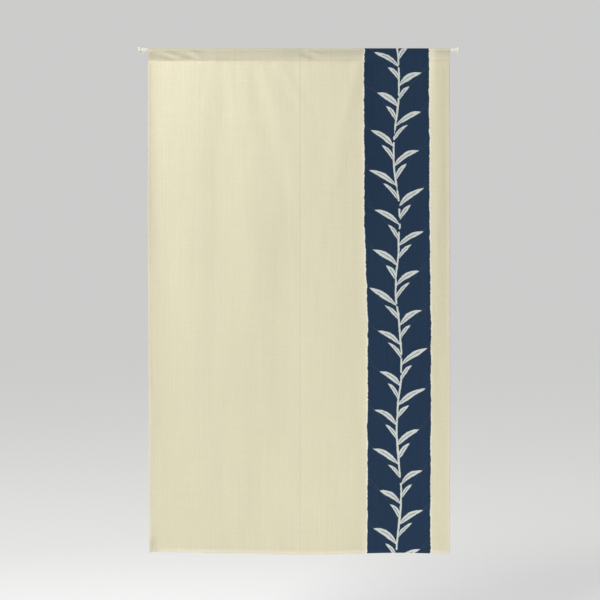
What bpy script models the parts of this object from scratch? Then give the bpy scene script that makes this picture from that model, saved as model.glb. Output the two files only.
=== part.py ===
# Noren curtain of two cloth panels, hung by their sleeves on a tension rod.
# Metres, +Z up. The origin is the middle of the left foot's outer face, X runs along the rod to
# the right foot, and the front of the curtain faces -Y.

import math
from collections import namedtuple

import bmesh
import bpy

COLLECTION = "noren_curtain_and_tension_rod"

# Driving dimensions of the rod and its end caps
ROD_LENGTH = 0.950
TUBE_RADIUS = 0.005
FIT_GAP = 0.0003
FOOT_RADIUS = 0.0100
FOOT_THICKNESS = 0.0060
FOOT_ROUNDING = 0.0012
CAP_LENGTH = 0.0275
CAP_ROOT_RADIUS = 0.0084
CAP_MOUTH_RADIUS = 0.0061
SOCKET_DEPTH = 0.020
ROUND_SIDES = 32
SHARP_ANGLE = math.radians(40)

# Driving dimensions of the cloth
CLOTH_LEFT = 0.029
CLOTH_RIGHT = 0.921
SEAM_X = 0.4795
CLOTH_THICKNESS = 0.0010
HEM_THICKNESS = 0.0016
HEM_WIDTH = 0.009
STITCH_DROP = 0.030
TAIL_LENGTH = 0.002
SLEEVE_BEND = 1.7
DROP_LEFT = 1.4880
DROP_RIGHT = 1.4915

# The bottom edge sags a little beside the slit
SAG_X = 0.464
SAG_WIDTH = 0.133
SAG_DEPTH = 0.0065

# The outer edges bow: how far each lies from its place at the rod, half way down and at the hem
LEFT_BOW = -0.0008
LEFT_SHIFT = 0.0030
RIGHT_BOW = 0.0020
RIGHT_SHIFT = 0.0

# The lower left corner curls forwards a little
CURL_DEPTH = 0.007
CURL_WIDTH = 0.034
CURL_HEIGHT = 0.038

# A slow wave that grows towards the hem
WAVE_PITCH = 0.356
WAVE_PHASE = 3.60
WAVE_HEIGHT = 0.0058

# Folds stay clear of the rod: they start at this depth and reach full height at the second.
# Each one fades after this share of its own length.
FOLD_START = 0.020
FOLD_FULL = 0.048
FOLD_FADE = 0.5

# Each fold is a soft ridge, or a trough where its height is negative. It runs from top_x at
# top_z to foot_x at foot_z, comes in over the first stretch named rise, and height is how far it
# stands out towards the front. First the fan that spreads from the sleeve, then the lower half.
Fold = namedtuple("Fold", "top_x foot_x top_z foot_z rise half_width height")
FOLDS = (
    Fold(top_x=0.014, foot_x=0.014, top_z=-0.02, foot_z=-1.10, rise=0.02, half_width=0.030, height=0.0060),
    Fold(top_x=0.188, foot_x=0.148, top_z=-0.02, foot_z=-1.33, rise=0.02, half_width=0.042, height=0.0032),
    Fold(top_x=0.252, foot_x=0.206, top_z=-0.02, foot_z=-1.50, rise=0.02, half_width=0.034, height=-0.0028),
    Fold(top_x=0.305, foot_x=0.376, top_z=-0.02, foot_z=-1.27, rise=0.02, half_width=0.036, height=0.0034),
    Fold(top_x=0.320, foot_x=0.530, top_z=-0.02, foot_z=-0.74, rise=0.02, half_width=0.024, height=-0.0028),
    Fold(top_x=0.352, foot_x=0.463, top_z=-0.02, foot_z=-0.34, rise=0.02, half_width=0.020, height=0.0020),
    Fold(top_x=0.382, foot_x=0.520, top_z=-0.02, foot_z=-0.25, rise=0.02, half_width=0.018, height=-0.0018),
    Fold(top_x=0.409, foot_x=0.520, top_z=-0.02, foot_z=-0.22, rise=0.02, half_width=0.019, height=0.0018),
    Fold(top_x=0.455, foot_x=0.523, top_z=-0.02, foot_z=-0.27, rise=0.02, half_width=0.028, height=-0.0012),
    Fold(top_x=0.664, foot_x=0.478, top_z=-0.02, foot_z=-0.83, rise=0.02, half_width=0.024, height=0.0020),
    Fold(top_x=0.730, foot_x=0.700, top_z=-0.02, foot_z=-0.90, rise=0.02, half_width=0.045, height=-0.0035),
    Fold(top_x=0.850, foot_x=0.845, top_z=-0.02, foot_z=-1.30, rise=0.02, half_width=0.035, height=0.0030),
    Fold(top_x=0.443, foot_x=0.443, top_z=-0.35, foot_z=-1.30, rise=0.25, half_width=0.040, height=-0.0034),
    Fold(top_x=0.567, foot_x=0.567, top_z=-0.45, foot_z=-1.15, rise=0.20, half_width=0.022, height=0.0008),
    Fold(top_x=0.182, foot_x=0.190, top_z=-1.05, foot_z=-1.62, rise=0.20, half_width=0.035, height=0.0018),
    Fold(top_x=0.247, foot_x=0.262, top_z=-1.02, foot_z=-1.50, rise=0.20, half_width=0.030, height=-0.0014),
    Fold(top_x=0.310, foot_x=0.305, top_z=-1.00, foot_z=-1.50, rise=0.20, half_width=0.030, height=0.0016),
    Fold(top_x=0.380, foot_x=0.340, top_z=-1.08, foot_z=-1.55, rise=0.25, half_width=0.034, height=-0.0010),
    Fold(top_x=0.395, foot_x=0.393, top_z=-1.25, foot_z=-1.75, rise=0.20, half_width=0.026, height=0.0016),
    Fold(top_x=0.543, foot_x=0.548, top_z=-1.10, foot_z=-1.60, rise=0.20, half_width=0.030, height=0.0012),
    Fold(top_x=0.608, foot_x=0.604, top_z=-1.10, foot_z=-1.58, rise=0.20, half_width=0.028, height=-0.0015),
)

# How finely the panels are divided
COLUMNS = 28
TAIL_ROWS = 1
SIDE_ROWS = 4
ARC_ROWS = 10
DROP_ROWS = 30

CLOTH_RADIUS = TUBE_RADIUS + FIT_GAP + CLOTH_THICKNESS / 2
LAYER_OFFSET = (CLOTH_THICKNESS + FIT_GAP) / 2

Paint = namedtuple("Paint", "color roughness metallic")
CREAM_CLOTH = Paint(color=(0.72, 0.68, 0.53), roughness=0.90, metallic=0.0)
ROD_PAINT = Paint(color=(0.66, 0.64, 0.53), roughness=0.40, metallic=0.0)
CAP_PLASTIC = Paint(color=(0.70, 0.68, 0.58), roughness=0.50, metallic=0.0)


def clear_scene():
    for obj in list(bpy.data.objects):
        bpy.data.objects.remove(obj, do_unlink=True)


def make_collection(name):
    collection = bpy.data.collections.new(name)
    bpy.context.scene.collection.children.link(collection)
    return collection


def make_material(name, paint):
    material = bpy.data.materials.new(name)
    material.use_nodes = True
    shader = material.node_tree.nodes["Principled BSDF"]
    shader.inputs["Base Color"].default_value = (*paint.color, 1.0)
    shader.inputs["Roughness"].default_value = paint.roughness
    shader.inputs["Metallic"].default_value = paint.metallic
    return material


def add_object(name, mesh, material, collection):
    mesh.materials.append(material)
    obj = bpy.data.objects.new(name, mesh)
    collection.objects.link(obj)
    return obj


def smooth_step(value):
    t = min(1.0, max(0.0, value))
    return t * t * (3.0 - 2.0 * t)


def bell(distance, half_width):
    return math.exp(-((distance / half_width) ** 2))


def fold_strength(fold, z):
    along = (fold.top_z - z) / (fold.top_z - fold.foot_z)
    rising = smooth_step((fold.top_z - z) / fold.rise)
    return rising * (1.0 - smooth_step((along - FOLD_FADE) / (1.0 - FOLD_FADE)))


def fold_relief(x, z):
    # How far the cloth stands out to the front at this place
    relief = 0.0
    for fold in FOLDS:
        along = (fold.top_z - z) / (fold.top_z - fold.foot_z)
        center = fold.top_x + (fold.foot_x - fold.top_x) * along
        relief += fold.height * fold_strength(fold, z) * bell(x - center, fold.half_width)
    depth = -z / DROP_LEFT
    relief += WAVE_HEIGHT * depth * depth * math.sin(math.tau * x / WAVE_PITCH + WAVE_PHASE)
    return relief * smooth_step((-z - FOLD_START) / (FOLD_FULL - FOLD_START))


def corner_curl(x, z):
    # How far the lower left corner comes forwards
    across = smooth_step(1.0 - (x - CLOTH_LEFT) / CURL_WIDTH)
    up = smooth_step(1.0 - (z + DROP_LEFT) / CURL_HEIGHT)
    return CURL_DEPTH * across * up


def drop_at(x):
    across = (x - CLOTH_LEFT) / (CLOTH_RIGHT - CLOTH_LEFT)
    straight = DROP_LEFT + (DROP_RIGHT - DROP_LEFT) * across
    return straight + SAG_DEPTH * bell(x - SAG_X, SAG_WIDTH)


def edge_offset(bow, shift, z):
    depth = min(1.0, max(0.0, -z / DROP_LEFT))
    return bow * math.sin(math.pi * depth) + shift * depth * depth


def panel_edges(left, right, z):
    # The outer edges bow, and the two edges at the slit stay straight
    if left == CLOTH_LEFT:
        left += edge_offset(LEFT_BOW, LEFT_SHIFT, z)
    if right == CLOTH_RIGHT:
        right += edge_offset(RIGHT_BOW, RIGHT_SHIFT, z)
    return left, right


def sleeve_wrap():
    # The angle below the rod's side at which the bent side leaves the round without a kink
    wrap = 0.2
    for _ in range(20):
        run = CLOTH_RADIUS * math.cos(wrap) - LAYER_OFFSET
        fall = STITCH_DROP - CLOTH_RADIUS * math.sin(wrap)
        wrap = math.atan(SLEEVE_BEND * run / fall)
    return wrap


def sleeve_section():
    # The cloth's middle line in Y and Z: up the tail behind the rod, over the rod, and down in
    # front to the stitch line. Each side draws in close below the rod and then hangs plumb.
    wrap = sleeve_wrap()
    back = (CLOTH_RADIUS * math.cos(wrap), -CLOTH_RADIUS * math.sin(wrap))

    def side_place(part):
        # part runs from the rod, 0, to the stitch line, 1
        y = LAYER_OFFSET + (back[0] - LAYER_OFFSET) * (1 - part) ** SLEEVE_BEND
        return y, back[1] + (-STITCH_DROP - back[1]) * part

    points = []
    for row in range(TAIL_ROWS):
        points.append((LAYER_OFFSET, -STITCH_DROP - TAIL_LENGTH * (1 - row / TAIL_ROWS)))
    for row in range(SIDE_ROWS):
        points.append(side_place(1 - row / SIDE_ROWS))
    for row in range(ARC_ROWS + 1):
        angle = -wrap + (math.pi + 2 * wrap) * row / ARC_ROWS
        points.append((CLOTH_RADIUS * math.cos(angle), CLOTH_RADIUS * math.sin(angle)))
    for row in range(1, SIDE_ROWS + 1):
        y, z = side_place(row / SIDE_ROWS)
        points.append((-y, z))
    return points


def drop_fractions(drop):
    # Rows from the stitch line to the hem, with one row just above the hem's fold
    length = drop - STITCH_DROP
    last = 1.0 - HEM_WIDTH / length
    return [last * row / DROP_ROWS for row in range(1, DROP_ROWS + 1)] + [1.0]


def column_fractions(left, right):
    # Evenly spaced columns, with one more beside each hemmed edge
    hem = HEM_WIDTH / (right - left)
    start = hem if left == CLOTH_LEFT else 0.0
    end = 1.0 - hem if right == CLOTH_RIGHT else 1.0
    inner = [start + (end - start) * column / COLUMNS for column in range(COLUMNS + 1)]
    if left == CLOTH_LEFT:
        inner.insert(0, 0.0)
    if right == CLOTH_RIGHT:
        inner.append(1.0)
    return inner


def panel_point(left, right, across, y, z):
    low, high = panel_edges(left, right, z)
    x = low + (high - low) * across
    return x, y - fold_relief(x, z) - corner_curl(x, z), z


def panel_rows(left, right, across):
    # Every point of one column, from the tail's edge to the hem
    points = [panel_point(left, right, across, y, z) for y, z in sleeve_section()]
    drop = drop_at(left + (right - left) * across)
    for fraction in drop_fractions(drop):
        # The two layers close up just below the stitch line
        y = -LAYER_OFFSET
        z = -STITCH_DROP - (drop - STITCH_DROP) * fraction
        points.append(panel_point(left, right, across, y, z))
    return points


def make_panel(name, left, right, material, collection):
    fractions = column_fractions(left, right)
    columns = [panel_rows(left, right, across) for across in fractions]
    rows = len(columns[0])
    bm = bmesh.new()
    bmesh.ops.create_grid(bm, x_segments=len(columns) - 1, y_segments=rows - 1, size=0.5)
    bm.verts.ensure_lookup_table()
    hemmed = []
    # The flat grid spans 1 by 1, so its coordinates give each vertex's column and row
    for vert in bm.verts:
        column = round((vert.co.x + 0.5) * (len(columns) - 1))
        row = round((vert.co.y + 0.5) * (rows - 1))
        vert.co = columns[column][row]
        outer_left = left == CLOTH_LEFT and column <= 1
        outer_right = right == CLOTH_RIGHT and column >= len(columns) - 2
        below_tail = vert.co.z < -(STITCH_DROP + TAIL_LENGTH + HEM_WIDTH)
        if below_tail and (outer_left or outer_right or row >= rows - 2):
            hemmed.append(vert.index)
    mesh = bpy.data.meshes.new(name)
    bm.to_mesh(mesh)
    bm.free()
    panel = add_object(name, mesh, material, collection)
    hem_group = panel.vertex_groups.new(name="hem")
    hem_group.add(hemmed, 1.0, "REPLACE")
    shell = panel.modifiers.new("cloth", "SOLIDIFY")
    shell.thickness = HEM_THICKNESS
    shell.offset = 0.0
    shell.vertex_group = hem_group.name
    shell.thickness_vertex_group = CLOTH_THICKNESS / HEM_THICKNESS
    mesh.shade_smooth()
    return panel


def make_tube(material, collection):
    length = ROD_LENGTH - 2 * (CAP_LENGTH - SOCKET_DEPTH + FIT_GAP)
    bm = bmesh.new()
    bmesh.ops.create_cone(
        bm, cap_ends=True, segments=ROUND_SIDES, radius1=TUBE_RADIUS, radius2=TUBE_RADIUS, depth=length
    )
    mesh = bpy.data.meshes.new("rod_tube")
    bm.to_mesh(mesh)
    bm.free()
    mesh.shade_smooth()
    mesh.set_sharp_from_angle(angle=SHARP_ANGLE)
    tube = add_object("rod_tube", mesh, material, collection)
    tube.location = (ROD_LENGTH / 2, 0.0, 0.0)
    tube.rotation_euler = (0.0, math.pi / 2, 0.0)
    return tube


def cap_profile():
    # Radius and height, from the socket's floor up its wall, over the mouth, and down the outer
    # side to the middle of the foot's face at height 0
    floor = CAP_LENGTH - SOCKET_DEPTH
    socket = TUBE_RADIUS + FIT_GAP
    neck = FOOT_THICKNESS
    return (
        (0.0, floor),
        (socket, floor),
        (socket, CAP_LENGTH),
        (CAP_MOUTH_RADIUS, CAP_LENGTH),
        (CAP_ROOT_RADIUS, neck),
        (FOOT_RADIUS - FOOT_ROUNDING, neck),
        (FOOT_RADIUS, neck - FOOT_ROUNDING),
        (FOOT_RADIUS, FOOT_ROUNDING / 2),
        (FOOT_RADIUS - FOOT_ROUNDING / 2, 0.0),
        (0.0, 0.0),
    )


def make_cap(name, x, turn, material, collection):
    bm = bmesh.new()
    verts = [bm.verts.new((radius, 0.0, height)) for radius, height in cap_profile()]
    for start, end in zip(verts, verts[1:]):
        bm.edges.new((start, end))
    mesh = bpy.data.meshes.new(name)
    bm.to_mesh(mesh)
    bm.free()
    cap = add_object(name, mesh, material, collection)
    spin = cap.modifiers.new("turned", "SCREW")
    spin.axis = "Z"
    spin.steps = ROUND_SIDES
    spin.render_steps = ROUND_SIDES
    spin.use_merge_vertices = True
    spin.merge_threshold = 0.00001
    cap.location = (x, 0.0, 0.0)
    cap.rotation_euler = (0.0, turn, 0.0)
    return cap


def main():
    clear_scene()
    collection = make_collection(COLLECTION)
    cloth = make_material("cream_cloth", CREAM_CLOTH)
    paint = make_material("rod_paint", ROD_PAINT)
    plastic = make_material("cap_plastic", CAP_PLASTIC)
    make_panel("panel_left", CLOTH_LEFT, SEAM_X - FIT_GAP / 2, cloth, collection)
    make_panel("panel_right", SEAM_X + FIT_GAP / 2, CLOTH_RIGHT, cloth, collection)
    make_tube(paint, collection)
    make_cap("end_cap_left", 0.0, math.pi / 2, plastic, collection)
    make_cap("end_cap_right", ROD_LENGTH, -math.pi / 2, plastic, collection)


main()
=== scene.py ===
import math
from collections import namedtuple

import bpy
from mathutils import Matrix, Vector, noise


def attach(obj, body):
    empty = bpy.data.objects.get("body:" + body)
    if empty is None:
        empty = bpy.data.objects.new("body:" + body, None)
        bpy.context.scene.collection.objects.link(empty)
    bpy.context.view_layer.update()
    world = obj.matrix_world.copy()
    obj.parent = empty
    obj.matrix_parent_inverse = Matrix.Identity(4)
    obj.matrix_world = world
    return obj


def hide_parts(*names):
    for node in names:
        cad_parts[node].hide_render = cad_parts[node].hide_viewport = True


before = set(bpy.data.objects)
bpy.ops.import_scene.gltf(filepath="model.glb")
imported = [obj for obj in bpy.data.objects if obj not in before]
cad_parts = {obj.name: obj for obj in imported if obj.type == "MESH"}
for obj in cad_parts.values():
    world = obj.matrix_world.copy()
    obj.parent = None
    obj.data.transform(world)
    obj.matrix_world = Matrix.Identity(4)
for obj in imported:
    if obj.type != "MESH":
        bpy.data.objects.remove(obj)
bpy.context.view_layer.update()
print("frame loaded:", ", ".join(sorted(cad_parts)))

# The noren hangs from x = 0 to 0.95 along the rod, with its front towards -Y and the rod's axis at z = 0.

cameraView = {
    "aim": (0.4781, -0.7402),  # x and z of the picture's middle
    "distance": 3.2,
    "pictureWidth": 1.7784,  # what the picture takes in at the cloth, in metres
    "sensor": 36.0,
}

studio = {
    "floorHeight": -1.86,
    "floorHalf": 30.0,
    "floorTone": (0.500, 0.500, 0.495),
    "floorRoughness": 0.9,
    "skyTone": (0.985, 0.99, 1.0),
    "skyStrength": 0.200,
    "backdropTone": (0.600, 0.602, 0.596),
}

StudioLight = namedtuple("StudioLight", "name spot aim size power tone")
studioLights = (
    StudioLight("keyLeft", (-2.23, -3.08, 3.07), (0.47, 0.0, -0.75), 2.0, 264.0, (1.0, 0.985, 0.965)),
    StudioLight("glowBehind", (-0.25, 1.0, 0.20), (0.12, 0.0, -0.20), 0.6, 13.0, (0.94, 0.98, 1.20)),
    StudioLight("floorBounce", (0.55, -1.3, -1.78), (0.50, 0.0, -1.45), 0.9, 12.5, (1.0, 0.985, 0.965)),
)

rod = {"radius": 0.005, "length": 0.950}

cloth = {
    "left": 0.029,
    "right": 0.921,
    "slit": 0.4795,
    "slitGap": 0.0003,
    "thickness": 0.0006,
    "hemThickness": 0.0016,
    "sideHem": 0.0080,
    "bottomHem": 0.0105,
    "stitchDrop": 0.030,
    "tail": 0.0020,
    "bendLeft": 1.25,
    "bendRight": 2.3,
    "bendFrom": 0.16,
    "bendTo": 0.52,
    "layerGap": 0.00003,
    "dropLeft": 1.4880,
    "dropRight": 1.4915,
    "sagAt": 0.464,
    "sagWidth": 0.133,
    "sagDepth": 0.0065,
    "leftBow": -0.0008,
    "leftShift": 0.0030,
    "rightBow": 0.0020,
    "rightShift": 0.0,
    "cornerTop": -1.40,
    "curlDepth": 0.0080,
    "curlWidth": 0.032,
    "curlFrom": 0.085,
    "curlFull": 0.020,
    "wavePitch": 0.356,
    "wavePhase": 3.60,
    "waveHeight": 0.0058,
    "foldStart": 0.020,
    "foldFull": 0.048,
    "foldFade": 0.5,
    "overRod": 0.008,  # how much of the flat length the way round the rod takes
}
faceRadius = rod["radius"] + 0.0002 + cloth["thickness"]
faceOffset = cloth["thickness"] + cloth["layerGap"]

# The hung cloth's soft folds: a ridge, or a trough where the height is negative. First the fan that
# spreads from the sleeve, then the slower folds of the lower half.
Fold = namedtuple("Fold", "topX footX topZ footZ rise halfWidth height")
folds = (
    Fold(0.014, 0.014, -0.02, -1.10, 0.02, 0.030, 0.0060),
    Fold(0.023, 0.020, -0.02, -0.70, 0.02, 0.020, 0.0042),
    Fold(0.014, 0.014, -0.25, -1.80, 0.30, 0.036, 0.0044),
    Fold(0.188, 0.148, -0.02, -1.33, 0.02, 0.042, 0.0038),
    Fold(0.203, 0.182, -0.02, -0.20, 0.02, 0.011, -0.0019),
    Fold(0.252, 0.206, -0.02, -1.50, 0.02, 0.034, -0.0028),
    Fold(0.262, 0.272, -0.02, -0.14, 0.01, 0.011, 0.0013),
    Fold(0.284, 0.291, -0.02, -0.18, 0.02, 0.011, -0.0021),
    Fold(0.305, 0.376, -0.02, -1.27, 0.02, 0.036, 0.0034),
    Fold(0.320, 0.530, -0.02, -0.74, 0.02, 0.024, -0.0028),
    Fold(0.352, 0.463, -0.02, -0.34, 0.02, 0.020, 0.0023),
    Fold(0.374, 0.512, -0.02, -0.25, 0.02, 0.018, -0.0023),
    Fold(0.409, 0.520, -0.02, -0.22, 0.02, 0.018, 0.0024),
    Fold(0.455, 0.523, -0.02, -0.27, 0.02, 0.028, -0.0012),
    Fold(0.664, 0.478, -0.02, -0.83, 0.02, 0.024, 0.0020),
    Fold(0.657, 0.570, -0.02, -0.33, 0.02, 0.016, 0.0020),
    Fold(0.730, 0.700, -0.02, -0.90, 0.02, 0.045, -0.0035),
    Fold(0.872, 0.862, -0.02, -1.30, 0.02, 0.035, 0.0030),
    Fold(0.891, 0.884, -0.02, -0.85, 0.01, 0.021, 0.0032),
    Fold(0.935, 0.935, -0.02, -0.60, 0.02, 0.045, 0.0024),
    Fold(0.443, 0.443, -0.35, -1.30, 0.25, 0.040, -0.0034),
    Fold(0.335, 0.345, -0.35, -1.05, 0.15, 0.075, 0.0030),
    Fold(0.567, 0.567, -0.45, -1.15, 0.20, 0.022, 0.0008),
    Fold(0.182, 0.190, -1.05, -1.62, 0.20, 0.035, 0.0018),
    Fold(0.247, 0.262, -1.02, -1.50, 0.20, 0.030, -0.0014),
    Fold(0.310, 0.305, -1.00, -1.50, 0.20, 0.030, 0.0016),
    Fold(0.380, 0.340, -1.08, -1.55, 0.25, 0.034, -0.0010),
    Fold(0.395, 0.393, -1.25, -1.75, 0.20, 0.026, 0.0016),
    Fold(0.543, 0.548, -1.10, -1.60, 0.20, 0.030, 0.0012),
    Fold(0.608, 0.604, -1.10, -1.58, 0.20, 0.028, -0.0015),
)

# Short slanting wrinkles in the front of the sleeve with painted highlights and painted shade along them, and
# some painted highlights and painted shade with no relief: at the sleeve's left end, right of the band, along
# the rod's top and in the lower left corner. How far each stands out, and how much painted highlight (above
# 0) or painted shade (below 0) it carries
Wrinkle = namedtuple("Wrinkle", "startX startZ endX endZ halfWidth height tone")
wrinklesAndPaintedShading = (
    Wrinkle(0.066, -0.003, 0.126, -0.024, 0.0044, -0.0020, 0.0),
    Wrinkle(0.052, -0.008, 0.113, -0.029, 0.0060, 0.0030, 0.0),
    Wrinkle(0.077, -0.001, 0.124, -0.012, 0.0040, 0.0, -0.35),
    Wrinkle(0.066, -0.006, 0.130, -0.030, 0.0066, 0.0, 0.34),
    Wrinkle(0.048, -0.016, 0.104, -0.030, 0.0034, 0.0, -0.30),
    # painted shade at the sleeve's left end
    Wrinkle(0.034, -0.002, 0.036, -0.032, 0.0170, 0.0, -0.40),
    Wrinkle(0.030, -0.003, 0.066, -0.009, 0.0050, 0.0014, 0.0),
    Wrinkle(0.142, -0.001, 0.198, -0.009, 0.0038, -0.0010, -0.30),
    Wrinkle(0.143, -0.002, 0.196, -0.038, 0.0056, 0.0022, 0.45),
    Wrinkle(0.116, -0.014, 0.166, -0.030, 0.0054, -0.0010, -0.40),
    Wrinkle(0.225, -0.024, 0.256, -0.032, 0.0040, 0.0, -0.20),
    Wrinkle(0.462, -0.009, 0.528, -0.027, 0.0050, 0.0022, -0.35),
    Wrinkle(0.478, 0.000, 0.545, -0.022, 0.0048, 0.0010, 0.30),
    Wrinkle(0.494, 0.000, 0.562, -0.017, 0.0044, -0.0014, 0.0),
    Wrinkle(0.228, -0.012, 0.268, -0.027, 0.0046, 0.0008, 0.0),
    Wrinkle(0.330, -0.010, 0.372, -0.028, 0.0050, 0.0008, 0.0),
    Wrinkle(0.590, -0.009, 0.640, -0.025, 0.0046, 0.0008, 0.0),
    Wrinkle(0.716, -0.012, 0.752, -0.027, 0.0050, 0.0008, 0.0),
    Wrinkle(0.838, -0.008, 0.884, -0.026, 0.0050, 0.0010, 0.0),
    # painted highlights with no relief: the sleeve right of the band, then along the rod's top
    Wrinkle(0.865, 0.006, 0.869, -0.044, 0.0150, 0.0, 1.00),
    Wrinkle(0.905, 0.004, 0.905, -0.045, 0.0320, 0.0, 0.25),
    Wrinkle(0.440, 0.004, 0.690, 0.004, 0.0042, 0.0, 0.34),
    Wrinkle(0.835, 0.004, 0.960, 0.004, 0.0042, 0.0, 0.55),
    # painted shade in the lower left corner
    Wrinkle(0.036, -1.504, 0.041, -1.436, 0.0110, 0.0, -0.22),
)

# Small ripples beside the sleeve's seam, and the faint crumple of cloth that was folded in a packet
pucker = {"pitch": 0.0115, "height": 0.00030, "reach": 0.0090, "drift": 2.4}
crumple = {
    "wide": 0.00050,
    "wideScale": (24.0, 12.0),
    "fine": 0.00014,
    "fineScale": (75.0, 55.0),
    "start": 0.010,
    "rise": 0.018,
}
wrinkleEnds = 0.35  # the share of its length over which a wrinkle fades in and out


def smoothStep(value):
    t = min(1.0, max(0.0, value))
    return t * t * (3.0 - 2.0 * t)


def bell(distance, halfWidth):
    return math.exp(-((distance / halfWidth) ** 2))


def foldStrength(fold, z):
    along = (fold.topZ - z) / (fold.topZ - fold.footZ)
    fading = (along - cloth["foldFade"]) / (1.0 - cloth["foldFade"])
    return smoothStep((fold.topZ - z) / fold.rise) * (1.0 - smoothStep(fading))


def foldRelief(x, z):
    relief = 0.0
    for fold in folds:
        strength = foldStrength(fold, z)
        if strength == 0.0:
            continue
        along = (fold.topZ - z) / (fold.topZ - fold.footZ)
        middle = fold.topX + (fold.footX - fold.topX) * along
        relief += fold.height * strength * bell(x - middle, fold.halfWidth)
    depth = -z / cloth["dropLeft"]
    wave = math.sin(math.tau * x / cloth["wavePitch"] + cloth["wavePhase"])
    relief += cloth["waveHeight"] * depth * depth * wave
    return relief * smoothStep((-z - cloth["foldStart"]) / (cloth["foldFull"] - cloth["foldStart"]))


def smallRelief(x, z):
    beside = math.exp(-abs(z + cloth["stitchDrop"]) / pucker["reach"])
    drift = pucker["drift"] * noise.noise(Vector((x * 9.0, 0.0, 1.7)))
    relief = pucker["height"] * beside * math.sin(math.tau * x / pucker["pitch"] + drift)
    wideX, wideZ = crumple["wideScale"]
    fineX, fineZ = crumple["fineScale"]
    relief += crumple["wide"] * noise.noise(Vector((x * wideX, z * wideZ, 3.1)))
    relief += crumple["fine"] * noise.noise(Vector((x * fineX, z * fineZ, 7.7)))
    return relief * smoothStep((-z - crumple["start"]) / crumple["rise"])


def wrinkleShare(wrinkle, x, z):
    runX = wrinkle.endX - wrinkle.startX
    runZ = wrinkle.endZ - wrinkle.startZ
    length = math.hypot(runX, runZ)
    along = ((x - wrinkle.startX) * runX + (z - wrinkle.startZ) * runZ) / length
    aside = ((x - wrinkle.startX) * runZ - (z - wrinkle.startZ) * runX) / length
    nearStart = smoothStep(along / length / wrinkleEnds)
    ends = nearStart * smoothStep((length - along) / length / wrinkleEnds)
    return ends * bell(aside, wrinkle.halfWidth)


def sleeveRelief(x, z):
    relief = sum(wrinkle.height * wrinkleShare(wrinkle, x, z) for wrinkle in wrinklesAndPaintedShading)
    clear = smoothStep((-z - rod["radius"]) / rod["radius"])
    return max(relief, 0.0) + min(relief, 0.0) * clear


# the painted highlight (above 0) or painted shade (below 0) at a point
def paintedLightAndShadeAt(x, z):
    return sum(wrinkle.tone * wrinkleShare(wrinkle, x, z) for wrinkle in wrinklesAndPaintedShading)


def cornerCurl(x, z):
    # the lower left corner comes forwards a little
    across = smoothStep(1.0 - (x - cloth["left"]) / cloth["curlWidth"])
    height = z + cloth["dropLeft"]
    up = smoothStep((cloth["curlFrom"] - height) / (cloth["curlFrom"] - cloth["curlFull"]))
    return cloth["curlDepth"] * across * up


def dropAt(x):
    across = (x - cloth["left"]) / (cloth["right"] - cloth["left"])
    straight = cloth["dropLeft"] + (cloth["dropRight"] - cloth["dropLeft"]) * across
    return straight + cloth["sagDepth"] * bell(x - cloth["sagAt"], cloth["sagWidth"])


def edgeOffset(bow, shift, z):
    depth = min(1.0, max(0.0, -z / cloth["dropLeft"]))
    return bow * math.sin(math.pi * depth) + shift * depth * depth


def edgesAt(left, right, z):
    if left == cloth["left"]:
        left += edgeOffset(cloth["leftBow"], cloth["leftShift"], z)
    if right == cloth["right"]:
        right += edgeOffset(cloth["rightBow"], cloth["rightShift"], z)
    return left, right


# How many rows the sleeve has in its tail, up its back, round the rod and down its front
sleeveGrid = {"tail": 5, "back": 10, "round": 20, "front": 16}
# the row along the rod's top
sleeveCrown = sleeveGrid["tail"] + sleeveGrid["back"] + sleeveGrid["round"] // 2


def sleeveBend(x):
    # low where the front of the sleeve runs straight to its seam, high where it draws in near the rod
    share = smoothStep((x - cloth["bendFrom"]) / (cloth["bendTo"] - cloth["bendFrom"]))
    return cloth["bendLeft"] + (cloth["bendRight"] - cloth["bendLeft"]) * share


def sleeveWrap(bend):
    # how far below its side the cloth leaves the rod, so that the bent side starts along the round
    wrap = 0.2
    for turn in range(20):
        run = faceRadius * math.cos(wrap) - faceOffset
        fall = cloth["stitchDrop"] - faceRadius * math.sin(wrap)
        wrap = math.atan(bend * run / fall)
    return wrap


def sleeveRows(x):
    # y, z and distance down the cloth of the face side, from the tail behind the rod to the seam in front
    bend = sleeveBend(x)
    wrap = sleeveWrap(bend)
    backY = faceRadius * math.cos(wrap)
    backZ = -faceRadius * math.sin(wrap)
    seamZ = -cloth["stitchDrop"]

    def sidePlace(share):
        # share runs from the rod, 0, to the seam, 1
        out = (1.0 - share) ** bend
        return faceOffset + (backY - faceOffset) * out, backZ + (seamZ - backZ) * share

    tail, back, around, front = sleeveGrid.values()
    points = []
    for step in range(tail):
        points.append((faceOffset, seamZ - cloth["tail"] * (1.0 - step / tail)))
    for step in range(back):
        points.append(sidePlace(1.0 - step / back))
    for step in range(around + 1):
        angle = -wrap + (math.pi + 2.0 * wrap) * step / around
        points.append((faceRadius * math.cos(angle), faceRadius * math.sin(angle)))
    for step in range(1, front + 1):
        y, z = sidePlace(step / front)
        points.append((-y, z))
    lengths = [0.0]
    for before, after in zip(points, points[1:]):
        lengths.append(lengths[-1] + math.dist(before, after))
    return [(y, z, length - lengths[sleeveCrown]) for (y, z), length in zip(points, lengths)]


# Rows and columns of the sheet below the sleeve: close together near the seam and at a hem, wider between
sheetGrid = {
    "nearStep": 0.0025,
    "nearRows": 16,
    "wideRows": 136,
    "columnStep": 0.0033,
    "cutStep": 0.0012,
    "besideHem": 0.0008,
    "hemShares": (0.30, 0.62, 1.0),
    "rollSteps": (0.0, 0.0004, 0.0011),
}
# A hem stands a little proud, its stitches pull in, and the cloth rolls back over its folded edge
hemShape = {
    "proud": 0.00022,
    "rise": 0.0015,
    "pull": 0.00030,
    "pullWidth": 0.0010,
    "stitchInset": 0.0016,
    "roll": 0.0007,
    "rollWidth": 0.0011,
}


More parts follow.
